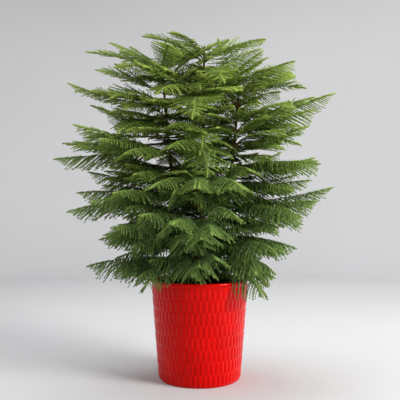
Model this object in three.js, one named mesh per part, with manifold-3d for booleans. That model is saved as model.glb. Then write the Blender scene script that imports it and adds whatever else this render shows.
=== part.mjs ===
// A potted Norfolk Island pine: four seedlings grown together in a black grow pot,
// which stands inside a tapered red cover pot.
// Millimetres, +Z up. The origin is the middle of the cover pot's underside; -Y is the front.

import * as THREE from 'three';
import { mergeVertices } from 'three/addons/utils/BufferGeometryUtils.js';
import Module from 'manifold-3d';

const wasm = await Module();
wasm.setup();

// ---------------------------------------------------------------- driving dimensions

// Cover pot: glazed earthenware, open at the top.
const COVER = {
  height: 255,
  rimRadius: 127,
  footRadius: 106.5,
  wall: 7.5,
  floor: 8,
  edgeRound: 3,
};

// Grow pot: thin black nursery pot with a rolled rim, standing on the cover pot's floor.
const GROW = {
  rimBelowCover: 9,
  rimGap: 3,
  rimHeight: 8,
  rimWidth: 4,
  footRadius: 90,
  wall: 1.8,
  floor: 2.5,
  drainHoles: 6,
  drainRadius: 6,
  drainCircle: 68,
};

// Potting mix: fills the grow pot to below its rim and heaps a little towards the stems.
const MIX = { belowGrowRim: 20, heap: 5 };

// Clearance kept between pieces that rest on or stand in one another.
const FIT = 0.4;

// Stem of a seedling, from its buried foot to its leading bud.
const STEM = {
  footRadius: 6.5,
  budRadius: 2.6,
  buried: 45,
  sides: 8,
  rings: 10,
};

// Frond: a branch with two rows of side twigs, drawn as one thin toothed blade.
const FROND = {
  stalkShare: 0.1, // length of bare stalk before the first twigs
  widestShare: 0.42,
  halfWidthShare: 0.26, // half width at the widest place, as a share of length
  widest: 74, // largest half width that a frond reaches
  sweep: 0.62, // how far a twig's end lies ahead of its root, per unit of its reach
  notch: 0.45, // reach between two teeth, as a share of the teeth's own
  hangLow: 0.75, // fall of a twig's end per unit of its reach, on the lowest fronds
  hangHigh: 0.05, // and on the topmost ones
  stalkRadius: 2.2,
  tipRadius: 1.1,
  rings: 15,
  clearance: 0.6,
};

// Each seedling: where its stem leaves the mix, where its bud is, and its tiers of fronds.
// Heights are above the edge of the mix.
// A frond is [heading in degrees from +X towards +Y, length, rise in degrees at the stem,
// degrees by which it bends down along its length, degrees by which its left side is raised].
const SEEDLINGS = [
  {
    name: 'left',
    foot: [-34, 6],
    bud: [-100, 4, 598],
    tiers: [
      { height: 578, fronds: [[185, 205, 22, 18, -20], [48, 170, 55, 24, 25], [86, 100, 66, 16, 0]] },
      {
        height: 484,
        fronds: [[183, 262, 4, -18, -10], [226, 190, 28, 62, -25], [138, 235, 24, 20, 0]],
      },
      {
        height: 356,
        fronds: [
          [150, 308, 20, 8, -15],
          [184, 300, 1, 8, -8],
          [207, 268, 12, 10, 0],
          [240, 225, 16, 34, 0],
        ],
      },
      {
        height: 240,
        fronds: [
          [136, 250, 12, 20, 0],
          [166, 240, 16, 18, 0],
          [198, 278, 2, 20, 0],
          [232, 240, 8, 24, 0],
        ],
      },
      { height: 152, fronds: [[144, 235, 8, 26, 0], [174, 205, 6, 24, 0], [212, 240, 6, 26, 0]] },
      { height: 78, fronds: [[146, 190, 6, 30, 0], [186, 245, 5, 27, 0], [222, 165, 7, 28, 0]] },
    ],
  },
  {
    name: 'right',
    foot: [40, -2],
    bud: [108, 2, 564],
    tiers: [
      { height: 512, fronds: [[40, 216, 43, 20, 25], [4, 184, 24, 34, 0]] },
      { height: 414, fronds: [[-12, 272, 26, 12, 25], [38, 245, 18, 14, 15], [-52, 225, 26, 40, 0]] },
      { height: 319, fronds: [[8, 230, 0, -16, 0], [-32, 250, 10, 22, 0], [46, 245, 8, 12, 0]] },
      { height: 224, fronds: [[-6, 275, 4, -10, 0], [30, 255, 2, 12, 0], [-42, 238, 6, 18, 0]] },
      { height: 138, fronds: [[-12, 190, 4, 26, 0], [32, 212, 4, 22, 0], [-54, 210, 0, 24, 0]] },
      { height: 72, fronds: [[-4, 150, 6, 46, 0], [-46, 178, 10, 74, 0], [38, 185, 4, 30, 0]] },
    ],
  },
  {
    name: 'middle',
    foot: [6, 30],
    bud: [12, -2, 640],
    tiers: [
      { height: 600, fronds: [[-5, 92, 40, 36, 10], [172, 64, 42, 30, 0]] },
      {
        height: 486,
        fronds: [
          [198, 274, 52, 73, -30],
          [14, 226, 54, 20, 20],
          [-28, 218, 40, 31, 10],
          [-97, 255, 14, 66, 0],
          [100, 225, 40, 40, 0],
        ],
      },
      { height: 366, fronds: [[-88, 235, 12, 70, 0], [78, 275, 24, 30, 0], [-136, 235, 20, 34, 0]] },
      { height: 248, fronds: [[84, 280, 14, 26, 0]] },
    ],
  },
  {
    name: 'front',
    foot: [4, -42],
    bud: [2, -64, 326],
    tiers: [
      { height: 274, fronds: [[-66, 220, 16, 44, 0], [-122, 215, 16, 44, 0]] },
      { height: 174, fronds: [[-84, 225, 10, 32, 0], [-134, 220, 8, 26, 0]] },
      { height: 80, fronds: [[-92, 150, 16, 34, 0]] },
    ],
  },
];

// ---------------------------------------------------------------- materials

const material = (color, roughness) =>
  new THREE.MeshStandardMaterial({ color, roughness, metalness: 0 });

const MATERIALS = {
  redGlaze: material('#c20a0b', 0.28),
  blackPlastic: material('#17171a', 0.55),
  mix: material('#2c2018', 0.95),
  bark: material('#5a4a30', 0.8),
  needles: material('#4f7a22', 0.6),
};

// ---------------------------------------------------------------- helpers

const degrees = THREE.MathUtils.degToRad;

// A geometry with only positions and an index, so that shared corners are one vertex.
function bare(geometry) {
  const positions = geometry.clone();
  positions.deleteAttribute('normal');
  positions.deleteAttribute('uv');
  return mergeVertices(positions, 1e-4);
}

function solid(geometry) {
  const closed = bare(geometry);
  return new wasm.Manifold(new wasm.Mesh({
    numProp: 3,
    vertProperties: closed.attributes.position.array,
    triVerts: new Uint32Array(closed.index.array),
  }));
}

function geometryOf(manifold) {
  const mesh = manifold.getMesh();
  return new THREE.BufferGeometry()
    .setAttribute('position', new THREE.BufferAttribute(mesh.vertProperties, 3))
    .setIndex(new THREE.BufferAttribute(mesh.triVerts, 1));
}

// A profile of [radius, height] pairs turned about Z. It starts and ends on the axis.
function turned(profile, segments = 64) {
  const points = profile.map(([radius, height]) => new THREE.Vector2(radius, height));
  return new THREE.LatheGeometry(points, segments).rotateX(Math.PI / 2);
}

// Points of a quarter round of the given radius about a centre, from one angle to another.
function quarter(centre, radius, fromDegrees, toDegrees, steps = 4) {
  return Array.from({ length: steps + 1 }, (_, i) => {
    const angle = degrees(fromDegrees + ((toDegrees - fromDegrees) * i) / steps);
    return [centre[0] + radius * Math.cos(angle), centre[1] + radius * Math.sin(angle)];
  });
}

// ---------------------------------------------------------------- cover pot

// Outer radius of the tapered wall at a height.
const coverRadius = (z) =>
  COVER.footRadius + ((COVER.rimRadius - COVER.footRadius) * z) / COVER.height;

function coverPot() {
  const { height, wall, floor, edgeRound } = COVER;
  const lip = wall / 2;
  return turned([
    [0, 0],
    ...quarter([coverRadius(edgeRound) - edgeRound, edgeRound], edgeRound, -90, 0),
    ...quarter([coverRadius(height) - lip, height - lip], lip, 0, 180, 6),
    [coverRadius(floor) - wall, floor],
    [0, floor],
  ]);
}

// ---------------------------------------------------------------- grow pot

const growTop = COVER.height - GROW.rimBelowCover;
const growFoot = COVER.floor + FIT;
const growRimRadius = coverRadius(growTop) - COVER.wall - GROW.rimGap;
const growBodyTop = growRimRadius - GROW.rimWidth;

// Outer radius of the grow pot's body at a height.
const growRadius = (z) =>
  GROW.footRadius + ((growBodyTop - GROW.footRadius) * (z - growFoot)) / (growTop - growFoot);

function growPot() {
  const { wall, floor, rimHeight } = GROW;
  const rimFoot = growTop - rimHeight;
  const body = turned([
    [0, growFoot],
    [GROW.footRadius, growFoot],
    [growRadius(rimFoot), rimFoot],
    [growRimRadius, rimFoot],
    [growRimRadius, growTop - wall / 2],
    [growRimRadius - wall / 2, growTop],
    [growRadius(growTop) - wall, growTop],
    [growRadius(growFoot + floor) - wall, growFoot + floor],
    [0, growFoot + floor],
  ]);
  const hole = new THREE.CylinderGeometry(GROW.drainRadius, GROW.drainRadius, 4 * floor, 16)
    .rotateX(Math.PI / 2);
  let pot = solid(body);
  for (let i = 0; i < GROW.drainHoles; i += 1) {
    const angle = (2 * Math.PI * i) / GROW.drainHoles;
    const x = GROW.drainCircle * Math.cos(angle);
    const y = GROW.drainCircle * Math.sin(angle);
    pot = pot.subtract(solid(hole.clone().translate(x, y, growFoot + floor / 2)));
  }
  return geometryOf(pot);
}

// ---------------------------------------------------------------- stems

const mixTop = growTop - MIX.belowGrowRim;

// The middle of a stem at a height above the mix: it leans out from the foot to the bud,
// and straightens as it goes.
function stemAt(seedling, height) {
  const [footX, footY] = seedling.foot;
  const [budX, budY, budHeight] = seedling.bud;
  const share = height / budHeight;
  const lean = share * (1.35 - 0.35 * share);
  return new THREE.Vector3(
    THREE.MathUtils.lerp(footX, budX, lean),
    THREE.MathUtils.lerp(footY, budY, lean),
    mixTop + height,
  );
}

function stemRadius(seedling, height) {
  const share = Math.max(0, height / seedling.bud[2]);
  return THREE.MathUtils.lerp(STEM.footRadius, STEM.budRadius, share);
}

// A stem, or the hole for one where extra is a clearance.
function stem(seedling, extra = 0) {
  const foot = -STEM.buried - extra;
  const length = seedling.bud[2] - foot;
  const tube = new THREE.CylinderGeometry(1, 1, 1, STEM.sides, STEM.rings);
  const position = tube.attributes.position;
  for (let i = 0; i < position.count; i += 1) {
    const height = foot + (position.getY(i) + 0.5) * length;
    const radius = stemRadius(seedling, height) + extra;
    const middle = stemAt(seedling, height);
    position.setXYZ(
      i,
      middle.x + radius * position.getX(i),
      middle.y - radius * position.getZ(i),
      middle.z,
    );
  }
  return tube;
}

// ---------------------------------------------------------------- potting mix

function pottingMix() {
  const foot = growFoot + GROW.floor + FIT;
  const edge = (z) => growRadius(z) - GROW.wall - FIT;
  let mix = solid(turned([
    [0, foot],
    [edge(foot), foot],
    [edge(mixTop), mixTop],
    [edge(mixTop) * 0.55, mixTop + MIX.heap * 0.7],
    [0, mixTop + MIX.heap],
  ]));
  for (const seedling of SEEDLINGS) {
    mix = mix.subtract(solid(stem(seedling, FIT)));
  }
  return geometryOf(mix);
}

// ---------------------------------------------------------------- fronds

// How far a frond's twigs reach to each side at a share of its length.
function reachAt(share, length) {
  const widest = Math.min(FROND.widest, FROND.halfWidthShare * length);
  if (share <= FROND.stalkShare) return 0;
  if (share < FROND.widestShare) {
    const grown = (share - FROND.stalkShare) / (FROND.widestShare - FROND.stalkShare);
    return widest * Math.sin((grown * Math.PI) / 2) ** 0.7;
  }
  const past = (share - FROND.widestShare) / (1 - FROND.widestShare);
  return widest * (1 - past ** 1.8) ** 0.75;
}

// The middle line of a frond: an arc that starts at its rise and bends down evenly.
function midlineAt(frond, share) {
  const { start, heading, length, rise, bend } = frond;
  const steps = 24;
  const point = start.clone();
  for (let i = 0; i < steps; i += 1) {
    const angle = rise - bend * share * ((i + 0.5) / steps);
    const stride = (length * share) / steps;
    point.x += stride * Math.cos(angle) * Math.cos(heading);
    point.y += stride * Math.cos(angle) * Math.sin(heading);
    point.z += stride * Math.sin(angle);
  }
  return point;
}

// A blade four corners round, with a ring for each tooth and each notch between two teeth.
// Its corners are the left and right edges and the top and underside of the middle line.
function frondGeometry(frond) {
  const { length, heading, rise, bend, roll, hang } = frond;
  const blade = new THREE.SphereGeometry(1, 4, FROND.rings + 1);
  const position = blade.attributes.position;
  const level = new THREE.Vector3(-Math.sin(heading), Math.cos(heading), 0);
  const point = new THREE.Vector3();
  for (let i = 0; i < position.count; i += 1) {
    const polar = Math.acos(THREE.MathUtils.clamp(position.getY(i), -1, 1));
    const ring = Math.round((polar / Math.PI) * (FROND.rings + 1));
    const share = ring / (FROND.rings + 1);
    const atEnd = ring === 0 || ring === FROND.rings + 1;
    const side = atEnd ? 0 : Math.round(position.getX(i) / Math.sin(polar));
    const up = atEnd ? 0 : Math.round(position.getZ(i) / Math.sin(polar));
    const radius = THREE.MathUtils.lerp(FROND.stalkRadius, FROND.tipRadius, share);
    const tooth = ring % 2 === 0 ? 1 : FROND.notch;
    const reach = Math.abs(side) * Math.max(tooth * reachAt(share, length), radius);
    const slope = rise - bend * share;
    const upper = new THREE.Vector3(
      -Math.sin(slope) * Math.cos(heading),
      -Math.sin(slope) * Math.sin(heading),
      Math.cos(slope),
    );
    const leftwards = level.clone().multiplyScalar(Math.cos(roll))
      .addScaledVector(upper, Math.sin(roll));
    point.copy(midlineAt(frond, Math.min(share + (FROND.sweep * reach) / length, 1)))
      .addScaledVector(leftwards, side * reach)
      .addScaledVector(upper, up * radius);
    position.setXYZ(i, point.x, point.y, point.z - hang * reach);
  }
  return blade;
}

// Twigs hang most on the lowest fronds and are nearly level on the topmost ones.
function hangAt(height) {
  const tallest = Math.max(...SEEDLINGS.map((seedling) => seedling.bud[2]));
  return THREE.MathUtils.lerp(FROND.hangLow, FROND.hangHigh, (height / tallest) ** 1.5);
}

// The turns tried, nearest first, until a frond grows clear of what is already there.
function* turnsTried() {
  yield [0, 0];
  for (let turn = 5; turn <= 60; turn += 5) {
    for (const tilt of [0, 5, -5, 10]) {
      yield [turn, tilt];
      yield [-turn, tilt];
    }
  }
}

function growFrond(seedling, tier, [heading, length, rise, bend, roll], grown) {
  const middle = stemAt(seedling, tier.height);
  const gap = stemRadius(seedling, tier.height) + FIT;
  for (const [turn, tilt] of turnsTried()) {
    const towards = degrees(heading + turn);
    const outwards = new THREE.Vector3(Math.cos(towards), Math.sin(towards), 0);
    const geometry = frondGeometry({
      start: middle.clone().addScaledVector(outwards, gap),
      heading: towards,
      length,
      rise: degrees(rise + tilt),
      bend: degrees(bend),
      roll: degrees(roll),
      hang: hangAt(tier.height),
    });
    const shape = solid(geometry);
    if (grown.every((other) => other.minGap(shape, FROND.clearance) >= FIT / 2)) {
      grown.push(shape);
      return geometry;
    }
  }
  throw new Error(`no room for a frond of the ${seedling.name} stem at ${tier.height}`);
}

// ---------------------------------------------------------------- the whole plant

const plant = new THREE.Group();

function add(name, geometry, look) {
  const mesh = new THREE.Mesh(geometry, look);
  mesh.name = name;
  plant.add(mesh);
}

add('cover_pot', coverPot(), MATERIALS.redGlaze);
add('grow_pot', growPot(), MATERIALS.blackPlastic);
add('potting_mix', pottingMix(), MATERIALS.mix);
for (const seedling of SEEDLINGS) {
  add(`${seedling.name}_stem`, stem(seedling), MATERIALS.bark);
}

const grown = plant.children
  .filter((mesh) => mesh.name !== 'potting_mix')
  .map((mesh) => solid(mesh.geometry));
for (const seedling of SEEDLINGS) {
  seedling.tiers.forEach((tier, t) => {
    tier.fronds.forEach((frond, f) => {
      const name = `${seedling.name}_tier${t + 1}_frond${f + 1}`;
      add(name, growFrond(seedling, tier, frond, grown), MATERIALS.needles);
    });
  });
}

export default plant;
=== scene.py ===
import math
import random

import bmesh
import bpy
from mathutils import Matrix, Vector, noise


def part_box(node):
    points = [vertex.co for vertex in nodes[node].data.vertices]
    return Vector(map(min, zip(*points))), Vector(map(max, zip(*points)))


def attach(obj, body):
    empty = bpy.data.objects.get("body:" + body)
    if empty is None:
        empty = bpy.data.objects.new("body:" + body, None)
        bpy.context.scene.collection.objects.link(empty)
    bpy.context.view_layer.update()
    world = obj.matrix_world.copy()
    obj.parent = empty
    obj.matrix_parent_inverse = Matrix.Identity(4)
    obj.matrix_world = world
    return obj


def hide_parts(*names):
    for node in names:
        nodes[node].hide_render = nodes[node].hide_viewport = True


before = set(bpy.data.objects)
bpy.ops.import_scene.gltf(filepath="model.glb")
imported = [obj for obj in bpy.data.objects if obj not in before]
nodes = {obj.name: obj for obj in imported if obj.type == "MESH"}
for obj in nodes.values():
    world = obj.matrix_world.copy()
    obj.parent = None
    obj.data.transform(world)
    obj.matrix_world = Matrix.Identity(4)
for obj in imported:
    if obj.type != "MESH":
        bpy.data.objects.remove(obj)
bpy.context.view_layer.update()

# ------------------------------------------------------------------ camera
# A normal lens a long step back from the pot, at about the height of its lowest fronds,
# looking level with the faintest tilt up.
camera = bpy.data.objects.new("camera", bpy.data.cameras.new("camera"))
LENS_MM, SENSOR_MM = 50, 36
CAMERA_PLACE, CAMERA_TILT = (0.001, -1.462, 0.416), 1.75
camera.data.lens = LENS_MM
camera.data.sensor_width = SENSOR_MM
camera.location = CAMERA_PLACE
camera.rotation_euler = (math.radians(90 + CAMERA_TILT), 0, 0)
bpy.context.scene.collection.objects.link(camera)
bpy.context.scene.camera = camera
bpy.context.scene.view_settings.view_transform = "Standard"

# ------------------------------------------------------------------ floor, backdrop and light
# A pale round studio: floor and wall are one sheet with a wide curve where they meet. A
# soft lamp on the right gives the main light, a dim one fills in from the left, one hangs
# over the plant, and one lights the wall behind it.


class Shade:
    """A shader value. Sums on it add Math nodes, and node() adds any other node."""

    def __init__(self, tree, socket=None):
        self.tree, self.socket = tree, socket

    def node(self, kind, settings=None, inputs=None, output=0):
        made = self.tree.nodes.new(kind)
        for name, value in (settings or {}).items():
            setattr(made, name, value)
        for name, value in (inputs or {}).items():
            if isinstance(value, Shade):
                self.tree.links.new(value.socket, made.inputs[name])
            else:
                made.inputs[name].default_value = value
        return Shade(self.tree, made.outputs[output])

    def math(self, operation, *values):
        return self.node("ShaderNodeMath", {"operation": operation}, dict(enumerate(values)))

    def __add__(self, other):
        return self.math("ADD", self, other)

    def __sub__(self, other):
        return self.math("SUBTRACT", self, other)

    def __mul__(self, other):
        return self.math("MULTIPLY", self, other)

    __radd__, __rmul__ = __add__, __mul__

    def between(self, low, high):
        """0 below low, 1 above high, and smooth between."""
        return self.node(
            "ShaderNodeMapRange",
            {"interpolation_type": "SMOOTHSTEP"},
            {"Value": self, "From Min": low, "From Max": high},
        )

    def mix(self, first, second):
        """The first colour where this value is 0, and the second where it is 1."""
        return self.node(
            "ShaderNodeMix",
            {"data_type": "RGBA", "clamp_factor": True},
            {0: self, 6: first, 7: second},
            output=2,
        )


def new_finish(name, **fixed):
    """A material, its Principled shader and a Shade to build on. fixed sets plain sockets."""
    made = bpy.data.materials.new(name)
    made.use_nodes = True
    shader = made.node_tree.nodes["Principled BSDF"]
    for socket, value in fixed.items():
        shader.inputs[socket.replace("_", " ")].default_value = value
    return made, shader, Shade(made.node_tree)


def feed(shader, socket, value):
    value.tree.links.new(value.socket, shader.inputs[socket])


def rgb(red, green, blue):
    """A screen colour, 0 to 255, as the linear colour that a shader takes."""
    linear = [
        (c / 255 / 12.92 if c < 10.3 else ((c / 255 + 0.055) / 1.055) ** 2.4)
        for c in (red, green, blue)
    ]
    return (*linear, 1)


def new_piece(name, bm, *finishes):
    """An object with the bmesh as its mesh, smooth-shaded, at the origin."""
    mesh = bpy.data.meshes.new(name)
    bm.to_mesh(mesh)
    bm.free()
    mesh.shade_smooth()
    for finish in finishes:
        mesh.materials.append(finish)
    piece = bpy.data.objects.new(name, mesh)
    bpy.context.scene.collection.objects.link(piece)
    return piece


STUDIO_RADIUS, STUDIO_CURVE, STUDIO_HEIGHT = 3.4, 0.9, 3.6
CURVE_STEPS, STUDIO_STEPS = 12, 96
bm = bmesh.new()
edge = [bm.verts.new((0, 0, 0)), bm.verts.new((STUDIO_RADIUS - STUDIO_CURVE, 0, 0))]
for step in range(1, CURVE_STEPS + 1):
    turn = math.radians(90 * step / CURVE_STEPS)
    out = STUDIO_RADIUS - STUDIO_CURVE + STUDIO_CURVE * math.sin(turn)
    edge.append(bm.verts.new((out, 0, STUDIO_CURVE - STUDIO_CURVE * math.cos(turn))))
edge.append(bm.verts.new((STUDIO_RADIUS, 0, STUDIO_HEIGHT)))
edges = [bm.edges.new(pair) for pair in zip(edge, edge[1:])]
bmesh.ops.spin(
    bm,
    geom=edge + edges,
    cent=(0, 0, 0),
    axis=(0, 0, 1),
    angle=math.tau,
    steps=STUDIO_STEPS,
    use_merge=True,
)
bmesh.ops.remove_doubles(bm, verts=bm.verts, dist=1e-5)
bmesh.ops.recalc_face_normals(bm, faces=bm.faces)
paper, paper_shader, at = new_finish("pale_paper", Roughness=0.9)
where = at.node("ShaderNodeTexCoord", output=3)
soft = at.node("ShaderNodeTexNoise", {}, {"Vector": where, "Scale": 1.2})
feed(paper_shader, "Base Color", soft.mix(rgb(206, 206, 207), rgb(212, 213, 215)))
studio = new_piece("studio", bm, paper)

LAMPS = [
    # name, place, aim, size, watts, colour
    ("key_lamp", (2.55, -1.45, 1.8), (0, 0, 0.45), 1.2, 122, (1.0, 0.985, 0.96)),
    ("left_lamp", (-1.5, -0.2, 2.1), (-0.1, 0, 0.65), 1.2, 10, (0.97, 0.98, 1.0)),
    ("top_lamp", (0.0, 0.4, 2.8), (0, 0, 0.4), 1.8, 36, (1.0, 1.0, 1.0)),
    ("wall_lamp", (0.7, 1.2, 2.9), (1.3, 3.4, 0.9), 1.6, 14, (1.0, 1.0, 1.0)),
]
for name, place, aim, size, watts, colour in LAMPS:
    lamp = bpy.data.lights.new(name, "AREA")
    lamp.shape, lamp.size, lamp.energy, lamp.color = "SQUARE", size, watts, colour
    holder = bpy.data.objects.new(name, lamp)
    holder.location = place
    holder.rotation_euler = (Vector(aim) - Vector(place)).to_track_quat("-Z", "Y").to_euler()
    holder.visible_camera = False
    bpy.context.scene.collection.objects.link(holder)

ROOM_COLOUR, ROOM_STRENGTH = (0.84, 0.85, 0.88, 1), 0.12
room = bpy.data.worlds.new("room")
room.use_nodes = True
room.node_tree.nodes["Background"].inputs["Color"].default_value = ROOM_COLOUR
room.node_tree.nodes["Background"].inputs["Strength"].default_value = ROOM_STRENGTH
bpy.context.scene.world = room

# ------------------------------------------------------------------ cover pot
# Moulded earthenware with a bright red glaze. Eight rows of small upright flutes stand up
# from the wall, each row half a flute round from the next, under a plain round lip.
low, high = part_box("cover_pot")
POT_HEIGHT, POT_RIM = high.z, high.x
POT_FOOT, POT_WALL, POT_FLOOR = 0.1065, 0.0075, 0.008
FLUTES, FLUTE_ROWS = 54, 8
PLAIN_TOP, PLAIN_FOOT = 0.012, 0.004  # bands without flutes
FLUTE_RISE = 0.0020
FLUTE_END = 0.3  # share of its rise that a flute keeps at its ends
FLUTE_BACK, BACK_FULLNESS, END_SQUARENESS = 2.2, 0.85, 12  # powers that shape a flute
FLUTE_STEPS, ROW_STEPS = 8, 10  # mesh steps across one flute and up one row
FLUTED_HEIGHT = POT_HEIGHT - PLAIN_TOP - PLAIN_FOOT
ROW_HEIGHT = FLUTED_HEIGHT / FLUTE_ROWS
LIP_SHOULDER = (POT_RIM - 0.0008, POT_HEIGHT - 0.010)  # radius and height just over the flutes
LIP_TURNS = (25, 50, 75, 105, 130, 155, 180)
FLOOR_ROUND, FLOOR_INSET = 0.01, 0.008
FOOT_ROUND = [(0.00204, 0.002), (0.0026, 0.0006), (0.0045, 0)]  # inset and height


def pot_radius(z):
    """The wall's outside radius between the flutes."""
    return POT_FOOT + (POT_RIM - POT_FOOT) * z / POT_HEIGHT - FLUTE_RISE


def flute_rise(turn, z):
    """How far the wall stands out at a turn and a height: round-backed and round-ended."""
    row, up = divmod((z - PLAIN_FOOT) / ROW_HEIGHT, 1)
    round_pot = FLUTES * turn / math.tau + 0.5 * (row % 2)
    across = 2 * (round_pot % 1) - 1
    up = 2 * up - 1
    back = max(0, 1 - abs(across) ** FLUTE_BACK) ** BACK_FULLNESS
    end = FLUTE_END + (1 - FLUTE_END) * (1 - abs(up) ** END_SQUARENESS)
    return FLUTE_RISE * back * end


def new_parts(grown, kind):
    return [part for part in grown["geom"] if isinstance(part, kind)]


def run_on(bm, edges, profile):
    """Carries an open round edge on through [radius, height] steps, each a new ring."""
    for radius, z in profile:
        grown = bmesh.ops.extrude_edge_only(bm, edges=edges)
        edges = new_parts(grown, bmesh.types.BMEdge)
        for v in new_parts(grown, bmesh.types.BMVert):
            flat = Vector((v.co.x, v.co.y)).normalized() * radius
            v.co = (flat.x, flat.y, z)
    return edges


bm = bmesh.new()
bmesh.ops.create_circle(bm, segments=FLUTES * FLUTE_STEPS, radius=pot_radius(PLAIN_FOOT))
bmesh.ops.translate(bm, verts=bm.verts, vec=(0, 0, PLAIN_FOOT))
foot_edges = bm.edges[:]
levels = FLUTE_ROWS * ROW_STEPS
step = FLUTED_HEIGHT / levels
heights = [PLAIN_FOOT + step * (level + 1) for level in range(levels)]
rim_edges = run_on(bm, foot_edges, [(pot_radius(z), z) for z in heights])
for v in bm.verts:
    rise = flute_rise(math.atan2(v.co.y, v.co.x), v.co.z)
    v.co += Vector((v.co.x, v.co.y, 0)).normalized() * rise
lip = POT_WALL / 2
profile = [LIP_SHOULDER, (POT_RIM, POT_HEIGHT - lip)]
for turn in LIP_TURNS:
    across, up = lip * math.cos(math.radians(turn)), lip * math.sin(math.radians(turn))
    profile.append((POT_RIM - lip + across, POT_HEIGHT - lip + up))
inner_foot = POT_FLOOR + FLOOR_ROUND
profile.append((pot_radius(inner_foot) - POT_WALL, inner_foot))
profile.append((POT_FOOT - POT_WALL - FLOOR_INSET, POT_FLOOR))
bmesh.ops.contextual_create(bm, geom=run_on(bm, rim_edges, profile))
profile = [(POT_FOOT - inset, z) for inset, z in FOOT_ROUND]
bmesh.ops.contextual_create(bm, geom=run_on(bm, foot_edges, profile))
bmesh.ops.recalc_face_normals(bm, faces=bm.faces)

RED_SHINE = (1, 0.22, 0.17, 1)
glaze, shader, at = new_finish("red_glaze", Specular_IOR_Level=0.5, Specular_Tint=RED_SHINE)
where = at.node("ShaderNodeTexCoord", output=3)
cloud = at.node("ShaderNodeTexNoise", {}, {"Vector": where, "Scale": 14.0, "Detail": 3.0})
fine = at.node("ShaderNodeTexNoise", {}, {"Vector": where, "Scale": 160.0, "Detail": 2.0})
feed(shader, "Base Color", cloud.between(0.35, 0.7).mix(rgb(194, 0, 0), rgb(210, 0, 1)))
feed(shader, "Roughness", 0.07 + 0.06 * fine + 0.06 * cloud)
ripple = at.node("ShaderNodeBump", {}, {"Height": fine, "Strength": 0.05, "Distance": 0.001})
feed(shader, "Normal", ripple)
cover_pot = new_piece("glazed_cover_pot", bm, glaze)
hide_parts("cover_pot")
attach(cover_pot, "root")

# ------------------------------------------------------------------ grow pot
# The thin black nursery pot that the seedlings were raised in. It stands on the cover
# pot's floor and only its rolled rim and the top of its wall are seen.
plastic, shader, at = new_finish("black_plastic")
where = at.node("ShaderNodeTexCoord", output=3)
grain = at.node("ShaderNodeTexNoise", {}, {"Vector": where, "Scale": 420.0, "Detail": 2.0})
dust = at.node("ShaderNodeTexNoise", {}, {"Vector": where, "Scale": 30.0, "Detail": 4.0})
feed(shader, "Base Color", dust.between(0.5, 0.8).mix(rgb(22, 22, 24), rgb(52, 47, 42)))
feed(shader, "Roughness", 0.42 + 0.25 * dust)
pitting = at.node("ShaderNodeBump", {}, {"Height": grain, "Strength": 0.15, "Distance": 0.0005})
feed(shader, "Normal", pitting)
nodes["grow_pot"].material_slots[0].material = plastic

# ------------------------------------------------------------------ potting mix
# Dark peat with coarse bark. The surface is lumpy and lies higher towards the stems.
low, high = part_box("potting_mix")
SOIL_FOOT, SOIL_HEAP, SOIL_GAP = 0.0865, 0.005, 0.0006
SOIL_SIDES = 72
SOIL_RINGS = (0.004, 0.008, 0.010, 0.011, 0.012, 0.013, 0.013, 0.013, 0.012)  # widths, inwards
LUMP_HEIGHT, LUMP_SCALE, CRUMB_SCALE = 0.0022, 90, 210
mix_top = high.z - SOIL_HEAP
soil_radius = high.x
bm = bmesh.new()
bmesh.ops.create_circle(bm, cap_ends=True, segments=SOIL_SIDES, radius=soil_radius - SOIL_GAP)
bmesh.ops.translate(bm, verts=bm.verts, vec=(0, 0, mix_top))
for thickness in SOIL_RINGS:
    top = max(bm.faces, key=lambda f: len(f.verts))
    bmesh.ops.inset_region(bm, faces=[top], thickness=thickness, use_even_offset=True)
top = max(bm.faces, key=lambda f: len(f.verts))
bmesh.ops.poke(bm, faces=[top])
rim_edges = [e for e in bm.edges if e.is_boundary]
for v in bm.verts:
    reach = 1 - math.hypot(v.co.x, v.co.y) / soil_radius
    lump = noise.noise(v.co * LUMP_SCALE) + 0.6 * noise.noise(v.co * CRUMB_SCALE)
    v.co.z += SOIL_HEAP * min(1, 2 * reach) + LUMP_HEIGHT * lump * min(1, 12 * reach)
bmesh.ops.contextual_create(bm, geom=run_on(bm, rim_edges, [(SOIL_FOOT, low.z)]))
bmesh.ops.recalc_face_normals(bm, faces=bm.faces)
peat, shader, at = new_finish("peat")
where = at.node("ShaderNodeTexCoord", output=3)
crumb = at.node("ShaderNodeTexVoronoi", {}, {"Vector": where, "Scale": 260.0})
clump = at.node("ShaderNodeTexNoise", {}, {"Vector": where, "Scale": 60.0, "Detail": 6.0})
feed(shader, "Base Color", clump.between(0.4, 0.7).mix(rgb(24, 16, 11), rgb(66, 47, 33)))
feed(shader, "Roughness", 0.8 + 0.15 * clump)
crumbs = {"Height": crumb + clump, "Strength": 0.7, "Distance": 0.002}
feed(shader, "Normal", at.node("ShaderNodeBump", {}, crumbs))
soil = new_piece("peat_surface", bm, peat)
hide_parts("potting_mix")
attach(soil, "root")

# ------------------------------------------------------------------ stems
# Each seedling has one straight woody stem, brown and scarred below and green above, with
# a low ridge wherever a whorl of leaves once stood.


def welded(name):
    """A copy of a CAD node's mesh with its loose triangles joined at their corners."""
    bm = bmesh.new()
    bm.from_mesh(nodes[name].data)
    bmesh.ops.remove_doubles(bm, verts=bm.verts, dist=2e-5)
    return bm


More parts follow.
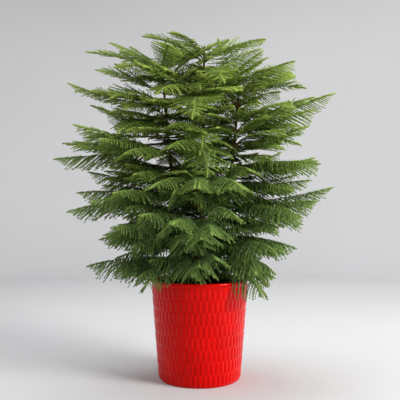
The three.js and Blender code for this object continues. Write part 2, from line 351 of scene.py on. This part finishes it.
class Stem:
    """A stem's middle line, as points with radii, read from its CAD node."""

    def __init__(self, name):
        cad = welded(name)
        levels = {}
        for v in cad.verts:
            levels.setdefault(round(v.co.z, 4), []).append(v.co.copy())
        cad.free()
        self.line = []
        for _, corners in sorted(levels.items()):
            middle = sum(corners, Vector()) / len(corners)
            self.line.append((middle, max((c - middle).length for c in corners)))
        self.foot, self.bud = self.line[0][0].z, self.line[-1][0].z

    def at(self, z):
        """The middle and the radius at a height."""
        for (low, thick), (high, thin) in zip(self.line, self.line[1:]):
            if z <= high.z:
                break
        share = (z - low.z) / (high.z - low.z)
        return low.lerp(high, share), thick + (thin - thick) * share


def drawn_out(bm, marks, sides, radius_at):
    """Draws a round section out along the marks and gives back its rings of vertices.

    radius_at takes the share of the way along and the number of the corner.
    """
    section = bmesh.ops.create_circle(bm, segments=sides, radius=1)["verts"]
    order = {v: k for k, v in enumerate(section)}
    edges = list({e for v in section for e in v.link_edges})
    bmesh.ops.contextual_create(bm, geom=edges)
    rings = []
    last = len(marks) - 1
    for step, mark in enumerate(marks):
        if step:
            grown = bmesh.ops.extrude_edge_only(bm, edges=edges)
            edges = new_parts(grown, bmesh.types.BMEdge)
            order = {
                v: order[e.other_vert(v)]
                for v in new_parts(grown, bmesh.types.BMVert)
                for e in v.link_edges
                if e.other_vert(v) in order
            }
        ahead = (marks[min(step + 1, last)] - marks[max(step - 1, 0)]).normalized()
        across = ahead.cross(Vector((0, 1, 0) if abs(ahead.z) > 0.9 else (0, 0, 1))).normalized()
        above = across.cross(ahead)
        for v, k in order.items():
            turn = math.tau * k / sides
            out = across * math.cos(turn) + above * math.sin(turn)
            v.co = mark + out * radius_at(step / last, k)
        rings.append(list(order))
    bmesh.ops.contextual_create(bm, geom=edges)
    return rings


bark, shader, at = new_finish("bark", Specular_IOR_Level=0.3)
where = at.node("ShaderNodeTexCoord", output=3)
height = at.node("ShaderNodeSeparateXYZ", {}, {"Vector": where}, output=2)
stretch = at.node("ShaderNodeMapping", {}, {"Vector": where, "Scale": (1, 1, 0.35)})
flake = at.node("ShaderNodeTexNoise", {}, {"Vector": stretch, "Scale": 240.0, "Detail": 5.0})
wood = flake.between(0.35, 0.65).mix(rgb(52, 40, 28), rgb(104, 84, 58))
soft = flake.between(0.3, 0.7).mix(rgb(84, 70, 36), rgb(112, 102, 50))
feed(shader, "Base Color", height.between(0.42, 0.8).mix(wood, soft))
feed(shader, "Roughness", 0.6 + 0.3 * flake)
furrows = at.node("ShaderNodeBump", {}, {"Height": flake, "Strength": 0.5, "Distance": 0.0015})
feed(shader, "Normal", furrows)

STEM_RINGS, STEM_SIDES = 110, 14
BARK_FIT = 0.97  # of the solid stem's radius, so that ridges stay near it
SCAR_RISE, SCAR_RINGS = 0.05, 3  # height of a scar, as a share of the radius, and rings to a scar
LUMP_RISE, LUMPS_ROUND, LUMPS_UP = 0.09, 3, 130
stems = {name: Stem(name) for name in sorted(nodes) if name.endswith("_stem")}
for name, stem in stems.items():
    heights = [stem.foot + (stem.bud - stem.foot) * i / STEM_RINGS for i in range(STEM_RINGS + 1)]

    def scarred(share, corner):
        z = heights[round(share * STEM_RINGS)]
        turn = math.tau * corner / STEM_SIDES
        place = (LUMPS_ROUND * math.cos(turn), LUMPS_ROUND * math.sin(turn), LUMPS_UP * z)
        lump = LUMP_RISE * noise.noise(place)
        ridge = 0 if round(share * STEM_RINGS) % SCAR_RINGS else SCAR_RISE
        return stem.at(z)[1] * BARK_FIT * (1 + lump + ridge)

    bm = bmesh.new()
    drawn_out(bm, [stem.at(z)[0] for z in heights], STEM_SIDES, scarred)
    bmesh.ops.recalc_face_normals(bm, faces=bm.faces)
    piece = new_piece(name + "_bark", bm, bark)
    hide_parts(name)
    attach(piece, "root")

# ------------------------------------------------------------------ twigs
# A side twig is a limp green shoot set all round with short forward-pointing needles.
# Each face round a thin cone is drawn up to a point to make one needle.
TWIG_SIDES, TWIG_LENGTHS, TWIG_SORTS = 3, 7, 8
TWIG_FOOT, TWIG_END = 0.55, 0.2  # radii of the bare shoot
TWIG_TWIST = 60  # degrees from one length to the next
NEEDLE_RISE, NEEDLE_LEAN, NEEDLE_TAPER = (0.75, 1.25), (0.06, 0.1), 0.4
TWIG_TIP = 1.03


def new_twig(seed):
    """A straight twig of length 1 along Z and about 1 across. It is bent and sized when set."""
    rng = random.Random(seed)
    bm = bmesh.new()
    bmesh.ops.create_cone(
        bm, cap_ends=True, segments=TWIG_SIDES, radius1=TWIG_FOOT, radius2=TWIG_END, depth=1
    )
    bmesh.ops.translate(bm, verts=bm.verts, vec=(0, 0, 0.5))
    long_edges = [e for e in bm.edges if abs(e.verts[0].co.z - e.verts[1].co.z) > 0.5]
    bmesh.ops.subdivide_edges(bm, edges=long_edges, cuts=TWIG_LENGTHS - 1, use_grid_fill=True)
    for v in bm.verts:
        level = round(v.co.z * TWIG_LENGTHS)
        v.co = Matrix.Rotation(math.radians(TWIG_TWIST) * level, 3, "Z") @ v.co
    sides = [f for f in bm.faces if len(f.verts) == 4]
    for v in bmesh.ops.poke(bm, faces=sides)["verts"]:
        outwards = Vector((v.co.x, v.co.y, 0)).normalized()
        v.co += outwards * rng.uniform(*NEEDLE_RISE) * (1 - NEEDLE_TAPER * v.co.z)
        v.co.z = min(TWIG_TIP, v.co.z + rng.uniform(*NEEDLE_LEAN))
    mesh = bpy.data.meshes.new(f"twig_{seed}")
    bm.to_mesh(mesh)
    bm.free()
    return mesh


twigs = [new_twig(seed) for seed in range(TWIG_SORTS)]

# ------------------------------------------------------------------ fronds
# Each frond is a thin brown branch with a row of twigs down either side, longest a little
# before the middle. Old twigs are dark green, and those at the end are fresh yellow-green.
TWIG_SPACING, FEWEST_TWIGS = 0.0072, 5
TWIG_WIDTH, FULL_WIDTH_REACH = 0.0023, 0.05
SHORTEST_TWIG = 0.003
STALK_SHARE, TWIGS_END = 0.12, 0.985  # where along the frond its twigs begin and end
FINGER_SHARE = 0.24  # of the frond's end, where twigs are short and the branch bears needles
FINGER_TWIGS, FINGER_CUT, FINGER_WIDTH = 4, 0.55, 1.6
BRANCH_RADIUS, BRANCH_TAPER = 0.0019, 0.7
BRANCH_STEPS, BRANCH_SIDES = 20, 5
LIP_MARGIN, LIP_GAP = 0.035, 0.008  # kept clear about the pot's lip
LIMP_BELOW = 0.45  # height above the mix under which twigs go limp with age
LIMP, LIFT = (0, 0.5), (-0.05, 0.4)  # fall of the oldest fronds' twigs, rise of the youngest's
UNRULY, UNRULY_WITH_AGE = 0.03, 0.05  # how far twigs stray, as a share of their reach
TWIG_SWEEP = 0.34  # how far a twig's bend stays back from its end, along the branch
TWIG_ARCH = (0.05, 0.18)

needle, shader, at = new_finish("needles", Specular_IOR_Level=0.22)
where = at.node("ShaderNodeTexCoord", output=3)
age = at.node("ShaderNodeAttribute", {"attribute_name": "young"}, output=2)
tone = at.node("ShaderNodeAttribute", {"attribute_name": "tone"}, output=2)
woody = at.node("ShaderNodeAttribute", {"attribute_name": "woody"}, output=2)
patch = at.node("ShaderNodeTexNoise", {}, {"Vector": where, "Scale": 24.0, "Detail": 3.0})
speck = at.node("ShaderNodeTexNoise", {}, {"Vector": where, "Scale": 900.0, "Detail": 1.0})
height = at.node("ShaderNodeSeparateXYZ", {}, {"Vector": where}, output=2)
# Painted light: needles higher up are painted paler and those lower down darker, standing in for
# the light on the plant's top and the shade under its tiers.
lit = height.between(0.3, 0.8)
dark_deep = lit.mix(rgb(22, 46, 22), rgb(60, 86, 20))
pale_deep = lit.mix(rgb(50, 84, 40), rgb(102, 128, 42))
dark_fresh = lit.mix(rgb(98, 132, 54), rgb(128, 154, 48))
pale_fresh = lit.mix(rgb(138, 166, 82), rgb(170, 190, 84))
deep = tone.mix(dark_deep, pale_deep)
fresh = tone.mix(dark_fresh, pale_fresh)
green = (age + 0.4 * patch - 0.3).between(0.0, 1.0).mix(deep, fresh)
green = (0.2 * speck.between(0.45, 0.7)).mix(green, rgb(140, 164, 88))
feed(shader, "Base Color", woody.mix(green, rgb(104, 82, 36)))
feed(shader, "Roughness", 0.45 + 0.2 * speck + 0.1 * patch)
scales = at.node("ShaderNodeBump", {}, {"Height": speck, "Strength": 0.3, "Distance": 0.0006})
feed(shader, "Normal", scales)


class Frond:
    """A frond's rails, as points by ring: its middle line and the ends of its side twigs."""

    def __init__(self, middle, left, right):
        self.middle, self.left, self.right = middle, left, right
        self.length = sum((b - a).length for a, b in zip(middle, middle[1:]))
        aim = middle[-1] - middle[0]
        self.heading = math.degrees(math.atan2(aim.y, aim.x))
        self.rise = math.degrees(math.atan2(aim.z, math.hypot(aim.x, aim.y)))

    @classmethod
    def of_node(cls, name):
        """Reads a frond's solid ring by ring from the end that stands at its stem."""
        bm = welded(name)
        stem = stems[name.split("_")[0] + "_stem"]
        butt = min(bm.verts, key=lambda v: (v.co - stem.at(v.co.z)[0]).length)
        rings = rings_from(bm, butt)
        side = Vector((0, 0, 1)).cross(rings[-1][0].co - butt.co)
        middle, left, right = [], [], []
        for ring in rings:
            ring = sorted((v.co.copy() for v in ring), key=side.dot)
            right.append(ring[0])
            left.append(ring[-1])
            inner = ring[1:-1] or ring
            middle.append(sum(inner, Vector()) / len(inner))
        bm.free()
        return cls(middle, left, right)

    def rails(self):
        return self.middle, self.left, self.right

    def between(self, other, share):
        """A frond drawn at a share of the way from this one to the other."""
        pairs = zip(self.rails(), other.rails())
        return Frond(*([a.lerp(b, share) for a, b in zip(*rails)] for rails in pairs))

    def regrown(self, stem, height, heading, size, tilt, roll):
        """A copy of another size that leaves the stem at a height, tipped and rolled."""
        turn = math.radians(self.heading)
        aim = Vector((math.cos(turn), math.sin(turn), 0))
        shape = (
            Matrix.Rotation(math.radians(heading - self.heading), 4, "Z")
            @ Matrix.Rotation(math.radians(tilt), 4, aim.cross(Vector((0, 0, 1))))
            @ Matrix.Rotation(math.radians(roll), 4, aim)
            @ Matrix.Scale(size, 4)
            @ Matrix.Translation(-self.middle[0])
        )
        place = Matrix.Translation(stem.at(height)[0])
        return Frond(*([over_the_lip(place @ shape @ p) for p in rail] for rail in self.rails()))

    def spot(self, share):
        """The point of the middle line at a share of its length."""
        return along(self.middle, share)

    def tip(self, side, share):
        """The end of a side twig rooted at that share. Only every second ring is a twig's end."""
        return along((self.left if side > 0 else self.right)[::2], share)


def over_the_lip(point):
    """Lifts a point that would dip into the pot or hang over its lip."""
    if math.hypot(point.x, point.y) < POT_RIM + LIP_MARGIN:
        point.z = max(point.z, POT_HEIGHT + LIP_GAP)
    return point


def along(points, share):
    """The point at a share of the way through a list of points."""
    place = share * (len(points) - 1)
    i = min(int(place), len(points) - 2)
    return points[i].lerp(points[i + 1], place - i)


def rings_from(bm, start):
    """The vertices by how many edges they lie from the start."""
    rings, seen = [[start]], {start}
    while rings[-1]:
        following = []
        for v in rings[-1]:
            for e in v.link_edges:
                other = e.other_vert(v)
                if other not in seen:
                    seen.add(other)
                    following.append(other)
        rings.append(following)
    return rings[:-1]


def set_twig(bm, layers, path, width, young, rng):
    """Adds one twig along the curve that the path's three points draw out."""
    root, bend, end = path
    before = len(bm.verts)
    bm.from_mesh(rng.choice(twigs))
    bm.verts.ensure_lookup_table()
    spin, tone = rng.uniform(0, math.tau), rng.random()
    for v in bm.verts[before:]:
        share = v.co.z
        near, far = root.lerp(bend, share), bend.lerp(end, share)
        ahead = (far - near).normalized()
        across = ahead.cross(Vector((0, 0, 1))).normalized()
        above = across.cross(ahead)
        x = v.co.x * math.cos(spin) - v.co.y * math.sin(spin)
        y = v.co.x * math.sin(spin) + v.co.y * math.cos(spin)
        v.co = near.lerp(far, share) + (across * x + above * y) * width
        v[layers["young"]] = young + 0.35 * share ** 2
        v[layers["tone"]] = tone


def new_foliage():
    """An empty bmesh with the three values that the needles' material reads."""
    bm = bmesh.new()
    return bm, {key: bm.verts.layers.float.new(key) for key in ("young", "tone", "woody")}


def branch_radius(share, corner):
    """The branch tapers evenly, and is as thick at every corner."""
    return BRANCH_RADIUS * (1 - BRANCH_TAPER * share)


def grow(frond, rng):
    """The bmesh of one frond: its branch, its two rows of twigs and the finger at its end."""
    bm, layers = new_foliage()
    marks = [frond.spot(step / BRANCH_STEPS) for step in range(BRANCH_STEPS + 1)]
    rings = drawn_out(bm, marks, BRANCH_SIDES, branch_radius)
    for step, ring in enumerate(rings):
        share = step / BRANCH_STEPS
        for v in ring:
            v[layers["woody"]] = max(0.0, 1 - 1.3 * share)
            v[layers["young"]] = 0.2 + 0.6 * share
            v[layers["tone"]] = 0.5
    age = max(0, 1 - (frond.middle[0].z - mix_top) / LIMP_BELOW)
    limp = age ** 2 * rng.uniform(*LIMP) - (1 - age) * rng.uniform(*LIFT)
    unruly = UNRULY + UNRULY_WITH_AGE * age
    count = max(FEWEST_TWIGS, round(frond.length * (1 - STALK_SHARE) / TWIG_SPACING))
    for i in range(2 * count):
        share = STALK_SHARE + (TWIGS_END - STALK_SHARE) * (i // 2 + 0.5) / count
        share = min(0.99, share + rng.uniform(-4, 4) * unruly / count)
        root, end = frond.spot(share), frond.tip(1 if i % 2 else -1, share)
        reach = end - root
        if reach.length < SHORTEST_TWIG:
            continue
        finger = max(0, (share - 1 + FINGER_SHARE) / FINGER_SHARE)
        reach *= 1 - FINGER_CUT * finger
        stray = Vector([rng.uniform(-unruly, unruly) for _ in range(3)]) * reach.length
        end = root + reach * rng.uniform(0.9 - unruly, 1.06 + unruly) + stray
        end.z -= limp * reach.length * rng.uniform(0.4, 1.3)
        ahead = (frond.spot(min(1, share + 0.02)) - frond.spot(share - 0.02)).normalized()
        out = reach - ahead * reach.length * TWIG_SWEEP
        arch = Vector((0, 0, reach.length * rng.uniform(*TWIG_ARCH)))
        fullness = 0.75 + 0.25 * min(1, reach.length / FULL_WIDTH_REACH)
        width = TWIG_WIDTH * fullness * rng.uniform(0.85, 1.15)
        young = 0.14 + 0.75 * share ** 2.2
        set_twig(bm, layers, (root, root + out * 0.5 + arch, end), width, young, rng)
    for i in range(FINGER_TWIGS):
        middle = FINGER_TWIGS - 0.4 - i
        spots = [
            frond.spot(1 - FINGER_SHARE * (middle + half) / FINGER_TWIGS) for half in (0.6, 0, -0.6)
        ]
        set_twig(bm, layers, spots, TWIG_WIDTH * FINGER_WIDTH, 0.4 + 0.12 * i, rng)
    bmesh.ops.recalc_face_normals(bm, faces=bm.faces)
    return bm


fronds = {name: Frond.of_node(name) for name in sorted(nodes) if "_frond" in name}
for name, frond in fronds.items():
    spray = new_piece(name.replace("_frond", "_spray"), grow(frond, random.Random(name)), needle)
    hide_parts(name)
    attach(spray, "root")

# ------------------------------------------------------------------ fronds between
# A real tier has five to seven fronds, and shorter ones grow between the tiers and hide the
# stems. Those in a tier are drawn half-way between two neighbours, and the short ones are
# smaller copies of the nearest frond that leave the stem at another height.
WHORL_SPACING = 0.036
WHORL_FRONDS = {"left": 5, "right": 5, "middle": 4, "front": 4}
SHORT_FRONDS = 2  # more in each whorl, close about the stem
WHORL_REACH, SHORT_REACH = (0.12, 0.2), (0.06, 0.11)
WHORL_TURN = 137.5  # degrees from one whorl to the next
WHORL_TILT, STEEPEST = (-14, 12), 20
WHORL_ROLL, TOP_LIFT = (-18, 18), 11
LOWEST_WHORL = 0.08  # above the potting mix
NEIGHBOURS = (15, 120)  # how far apart two fronds of a tier may head, with one drawn between
STACKED = 40  # the most that fronds of two tiers may differ in heading, with one drawn between
TALLEST = "middle"


def apart(a, b):
    """The angle between two headings, in degrees."""
    return abs((a - b + 180) % 360 - 180)


for seedling in sorted(WHORL_FRONDS):
    stem = stems[seedling + "_stem"]
    tiers = {}
    for name, frond in fronds.items():
        if name.startswith(seedling):
            tiers.setdefault(int(name.split("_")[1][4:]), []).append(frond)
    for number, tier in sorted(tiers.items()):
        rng = random.Random(f"{seedling}{number}")
        tier.sort(key=lambda frond: frond.heading)
        lower = tiers.get(number + 1, [])
        fillers = []
        for a, b in zip(tier, tier[1:] + tier[:1]):
            if NEIGHBOURS[0] < apart(a.heading, b.heading) < NEIGHBOURS[1]:
                fillers.append(a.between(b, rng.uniform(0.4, 0.6)))
        stacked = [(a, b) for a in tier for b in lower if apart(a.heading, b.heading) < STACKED]
        for a, b in stacked if number > 1 else []:
            half = a.between(b, rng.uniform(0.35, 0.65))
            height = half.middle[0].z
            fillers.append(half.regrown(stem, height, half.heading, rng.uniform(0.62, 0.88), 0, 0))

        top = tier[0].middle[0].z
        foot = lower[0].middle[0].z if lower else mix_top + LOWEST_WHORL
        levels = max(1, round((top - foot) / WHORL_SPACING))
        first = rng.uniform(0, 360)
        for level in range(levels):
            height = top - (top - foot) * level / levels
            count = WHORL_FRONDS[seedling]
            for i in range(count + SHORT_FRONDS):
                heading = first + WHORL_TURN * level + 360 * i / count + rng.uniform(-16, 16)
                model = min(tier + lower, key=lambda frond: apart(frond.heading, heading))
                reach = rng.uniform(*(WHORL_REACH if i < count else SHORT_REACH))
                size = reach / model.length
                tilt = rng.uniform(*WHORL_TILT) - max(0, model.rise - STEEPEST)
                roll = rng.uniform(*WHORL_ROLL)
                if number == 1 and seedling != TALLEST:
                    tilt, roll = tilt + TOP_LIFT, 2 * roll
                fillers.append(model.regrown(stem, height, heading, size, tilt, roll))
        bm = bmesh.new()
        for filler in fillers:
            grown = grow(filler, rng)
            mesh = bpy.data.meshes.new("filler")
            grown.to_mesh(mesh)
            grown.free()
            bm.from_mesh(mesh)
            bpy.data.meshes.remove(mesh)
        spray = new_piece(f"{seedling}_tier{number}_between", bm, needle)
        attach(spray, "root")

# ------------------------------------------------------------------ leading shoots
# Each stem ends in a soft green shoot clothed in needles, with a flat ring of new side
# shoots just under its bud.
SHOOT_LENGTHS, SHOOT_LENGTH, SHOOT_WIDTH = 5, 0.045, 0.0042
SIDE_SHOOTS, SIDE_SHOOT_WIDTH, SIDE_REACH = 9, 0.0026, (0.017, 0.026)
RING_BELOW_BUD, RING_RISE = 0.006, 0.005
for name, stem in stems.items():
    rng = random.Random(name)
    bud = stem.at(stem.bud)[0]
    foot = stem.at(stem.bud - SHOOT_LENGTH)[0]
    bm, layers = new_foliage()
    for i in range(SHOOT_LENGTHS):
        start, stop = foot.lerp(bud, i / SHOOT_LENGTHS), foot.lerp(bud, (i + 1.2) / SHOOT_LENGTHS)
        path = (start, (start + stop) / 2, stop)
        set_twig(bm, layers, path, SHOOT_WIDTH, 0.25 + 0.1 * i, rng)
    start = bud - Vector((0, 0, RING_BELOW_BUD))
    for i in range(SIDE_SHOOTS):
        turn = math.tau * i / SIDE_SHOOTS + rng.uniform(-0.2, 0.2)
        out = Vector((math.cos(turn), math.sin(turn), 0)) * rng.uniform(*SIDE_REACH)
        stop = start + out + Vector((0, 0, RING_RISE))
        set_twig(bm, layers, (start, start + out * 0.6, stop), SIDE_SHOOT_WIDTH, 0.3, rng)
    shoot = new_piece(name.replace("_stem", "_shoot"), bm, needle)
    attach(shoot, "root")
